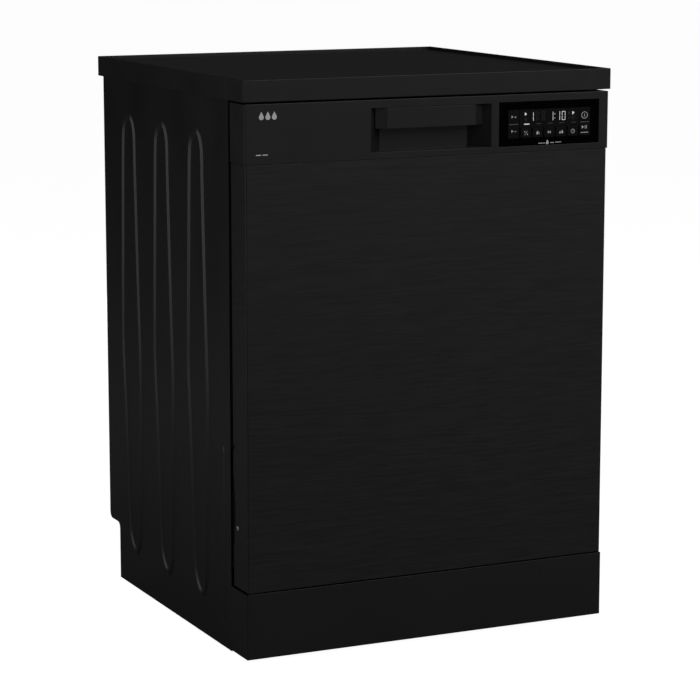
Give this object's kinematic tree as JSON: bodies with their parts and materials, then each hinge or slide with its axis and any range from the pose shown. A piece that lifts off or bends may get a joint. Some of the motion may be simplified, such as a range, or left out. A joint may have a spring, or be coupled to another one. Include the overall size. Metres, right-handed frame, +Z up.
{
  "type": "dishwasher",
  "caption": "Free-standing front-loading dishwasher with its own worktop, a drop-down door with fascia and handle pocket, pull-out wire racks and turning spray arms.",
  "frame": {"origin": "on the floor under the centre of the worktop", "axes": "+X to the right of somebody facing the door, -Y towards that person, +Z up"},
  "size_m": [0.598, 0.594, 0.85],
  "materials": {
    "black_paint": "satin black paint on pressed steel",
    "black_plastic": "satin black moulding",
    "laminate": "black laminate on chipboard",
    "black_steel": "black coated steel with a fine horizontal grain",
    "display_black": "gloss black",
    "key_black": "semi-gloss black",
    "stainless": "bright stainless steel",
    "zinc": "galvanised steel",
    "rack_coating": "grey nylon coating on steel wire",
    "grey_plastic": "satin moulded grey",
    "light_plastic": "satin moulded light grey",
    "rubber": "black rubber"
  },
  "bodies": {
    "cabinet": {"worktop_board": "laminate", "worktop_front_trim": "black_plastic", "worktop_frame": "black_plastic", "side_panel_left": "black_paint", "side_panel_right": "black_paint", "rear_panel": "zinc", "base_tray": "grey_plastic", "plinth": "black_paint", "tub": "stainless", "door_seal": "rubber", "front_crossbar": "zinc", "sump": "grey_plastic", "circulation_pump": "grey_plastic", "drain_pump": "grey_plastic", "water_softener": "light_plastic", "coarse_filter": "stainless", "water_duct": "grey_plastic", "inlet_valve": "light_plastic", "mains_inlet": "black_plastic", "hinge_bracket_left": "zinc", "hinge_bracket_right": "zinc", "hinge_spring_left": "zinc", "hinge_spring_right": "zinc"},
    "foot_front_left": {"foot_front_left": "rubber"},
    "foot_front_right": {"foot_front_right": "rubber"},
    "foot_rear_left": {"foot_rear_left": "rubber"},
    "foot_rear_right": {"foot_rear_right": "rubber"},
    "salt_cap": {"salt_cap": "grey_plastic"},
    "fine_filter": {"fine_filter": "grey_plastic"},
    "lower_spray_arm": {"lower_spray_arm": "light_plastic"},
    "ceiling_sprayer": {"ceiling_sprayer": "light_plastic"},
    "upper_rails": {"rack_rail_left": "stainless", "rack_rail_right": "stainless"},
    "upper_rack": {"upper_rack": "rack_coating", "upper_arm_feed": "grey_plastic"},
    "upper_spray_arm": {"upper_spray_arm": "light_plastic"},
    "lower_rack": {"lower_rack": "rack_coating"},
    "cutlery_basket": {"cutlery_basket": "grey_plastic"},
    "rack_wheel_front_left": {"rack_wheel_front_left": "grey_plastic"},
    "rack_wheel_front_right": {"rack_wheel_front_right": "grey_plastic"},
    "rack_wheel_rear_left": {"rack_wheel_rear_left": "grey_plastic"},
    "rack_wheel_rear_right": {"rack_wheel_rear_right": "grey_plastic"},
    "door": {"door_outer_panel": "black_steel", "control_panel": "black_plastic", "handle_grip": "black_plastic", "door_liner": "stainless", "hinge_arm_left": "zinc", "hinge_arm_right": "zinc", "display_panel": "display_black", "detergent_dispenser": "grey_plastic", "door_lock": "grey_plastic"},
    "dispenser_lid": {"dispenser_lid": "light_plastic"},
    "rinse_aid_cap": {"rinse_aid_cap": "light_plastic"},
    "program_key": {"program_key": "key_black"},
    "power_start_key": {"power_start_key": "key_black"},
    "half_load_key": {"half_load_key": "key_black"},
    "extra_dry_key": {"extra_dry_key": "key_black"},
    "fast_key": {"fast_key": "key_black"},
    "steam_key": {"steam_key": "key_black"},
    "delay_key": {"delay_key": "key_black"}
  },
  "joints": [
    {"name": "door_hinge", "type": "hinge", "parent": "cabinet", "child": "door", "pos_m": [0, -0.228, 0.176], "axis": [1, 0, 0], "range_deg": [0, 90], "stiffness_Nm_per_rad": 14, "deforming": ["hinge_spring_left", "hinge_spring_right"]},
    {"name": "upper_rails_slide", "type": "slide", "parent": "cabinet", "child": "upper_rails", "axis": [0, -1, 0], "range_m": [0, 0.2]},
    {"name": "upper_rack_slide", "type": "slide", "parent": "upper_rails", "child": "upper_rack", "axis": [0, -1, 0], "range_m": [0, 0.2]},
    {"name": "lower_rack_slide", "type": "slide", "parent": "cabinet", "child": "lower_rack", "axis": [0, -1, 0], "range_m": [0, 0.18]},
    {"name": "rack_wheel_front_left_spin", "type": "hinge", "parent": "lower_rack", "child": "rack_wheel_front_left", "pos_m": [-0.2451, -0.11, 0.1835], "axis": [1, 0, 0], "range_deg": [0, 600]},
    {"name": "rack_wheel_front_right_spin", "type": "hinge", "parent": "lower_rack", "child": "rack_wheel_front_right", "pos_m": [0.2451, -0.11, 0.1835], "axis": [1, 0, 0], "range_deg": [0, 600]},
    {"name": "rack_wheel_rear_left_spin", "type": "hinge", "parent": "lower_rack", "child": "rack_wheel_rear_left", "pos_m": [-0.2451, 0.18, 0.1835], "axis": [1, 0, 0], "range_deg": [0, 600]},
    {"name": "rack_wheel_rear_right_spin", "type": "hinge", "parent": "lower_rack", "child": "rack_wheel_rear_right", "pos_m": [0.2451, 0.18, 0.1835], "axis": [1, 0, 0], "range_deg": [0, 600]},
    {"name": "lower_spray_spin", "type": "hinge", "parent": "cabinet", "child": "lower_spray_arm", "pos_m": [0, 0.01, 0.196], "axis": [0, 0, 1], "continuous": true},
    {"name": "upper_spray_spin", "type": "hinge", "parent": "upper_rack", "child": "upper_spray_arm", "pos_m": [0, 0.01, 0.4615], "axis": [0, 0, 1], "continuous": true},
    {"name": "ceiling_spray_spin", "type": "hinge", "parent": "cabinet", "child": "ceiling_sprayer", "pos_m": [0, 0.01, 0.7465], "axis": [0, 0, 1], "continuous": true},
    {"name": "dispenser_lid_slide", "type": "slide", "parent": "door", "child": "dispenser_lid", "axis": [0, 0, 1], "range_m": [0, 0.06]},
    {"name": "rinse_aid_cap_turn", "type": "hinge", "parent": "door", "child": "rinse_aid_cap", "pos_m": [0.042, -0.252, 0.5], "axis": [0, 1, 0], "range_deg": [0, 90]},
    {"name": "salt_cap_turn", "type": "hinge", "parent": "cabinet", "child": "salt_cap", "pos_m": [-0.17, -0.09, 0.175], "axis": [0, 0, 1], "range_deg": [0, 360]},
    {"name": "fine_filter_turn", "type": "hinge", "parent": "cabinet", "child": "fine_filter", "pos_m": [0.08, 0.1, 0.17], "axis": [0, 0, 1], "range_deg": [0, 60]},
    {"name": "cutlery_basket_lift", "type": "slide", "parent": "lower_rack", "child": "cutlery_basket", "axis": [0, 0, 1], "range_m": [0, 0.05]},
    {"name": "foot_front_left_screw", "type": "slide", "parent": "cabinet", "child": "foot_front_left", "axis": [0, 0, -1], "range_m": [0, 0.02]},
    {"name": "foot_front_right_screw", "type": "slide", "parent": "cabinet", "child": "foot_front_right", "axis": [0, 0, -1], "range_m": [0, 0.02]},
    {"name": "foot_rear_left_screw", "type": "slide", "parent": "cabinet", "child": "foot_rear_left", "axis": [0, 0, -1], "range_m": [0, 0.02]},
    {"name": "foot_rear_right_screw", "type": "slide", "parent": "cabinet", "child": "foot_rear_right", "axis": [0, 0, -1], "range_m": [0, 0.02]},
    {"name": "half_load_key_press", "type": "slide", "parent": "door", "child": "half_load_key", "axis": [0, 1, 0], "range_m": [0, 0.0008], "stiffness_N_per_m": 400, "springref_m": -0.001},
    {"name": "extra_dry_key_press", "type": "slide", "parent": "door", "child": "extra_dry_key", "axis": [0, 1, 0], "range_m": [0, 0.0008], "stiffness_N_per_m": 400, "springref_m": -0.001},
    {"name": "fast_key_press", "type": "slide", "parent": "door", "child": "fast_key", "axis": [0, 1, 0], "range_m": [0, 0.0008], "stiffness_N_per_m": 400, "springref_m": -0.001},
    {"name": "steam_key_press", "type": "slide", "parent": "door", "child": "steam_key", "axis": [0, 1, 0], "range_m": [0, 0.0008], "stiffness_N_per_m": 400, "springref_m": -0.001},
    {"name": "delay_key_press", "type": "slide", "parent": "door", "child": "delay_key", "axis": [0, 1, 0], "range_m": [0, 0.0008], "stiffness_N_per_m": 400, "springref_m": -0.001},
    {"name": "program_key_rock", "type": "hinge", "parent": "door", "child": "program_key", "pos_m": [0.1354, -0.2932, 0.7721], "axis": [1, 0, 0], "range_deg": [-2, 2], "stiffness_Nm_per_rad": 0.6},
    {"name": "power_start_key_rock", "type": "hinge", "parent": "door", "child": "power_start_key", "pos_m": [0.2564, -0.2932, 0.7721], "axis": [1, 0, 0], "range_deg": [-2, 2], "stiffness_Nm_per_rad": 0.6}
  ],
  "couplings": [
    {"joint": "upper_rails_slide", "follows": "door_hinge", "m_per_rad": 0.127},
    {"joint": "upper_rack_slide", "follows": "door_hinge", "m_per_rad": 0.127},
    {"joint": "lower_rack_slide", "follows": "door_hinge", "m_per_rad": 0.112},
    {"joint": "rack_wheel_front_left_spin", "follows": "door_hinge", "ratio": 6.5882},
    {"joint": "rack_wheel_front_right_spin", "follows": "door_hinge", "ratio": 6.5882},
    {"joint": "rack_wheel_rear_left_spin", "follows": "door_hinge", "ratio": 6.5882},
    {"joint": "rack_wheel_rear_right_spin", "follows": "door_hinge", "ratio": 6.5882}
  ]
}
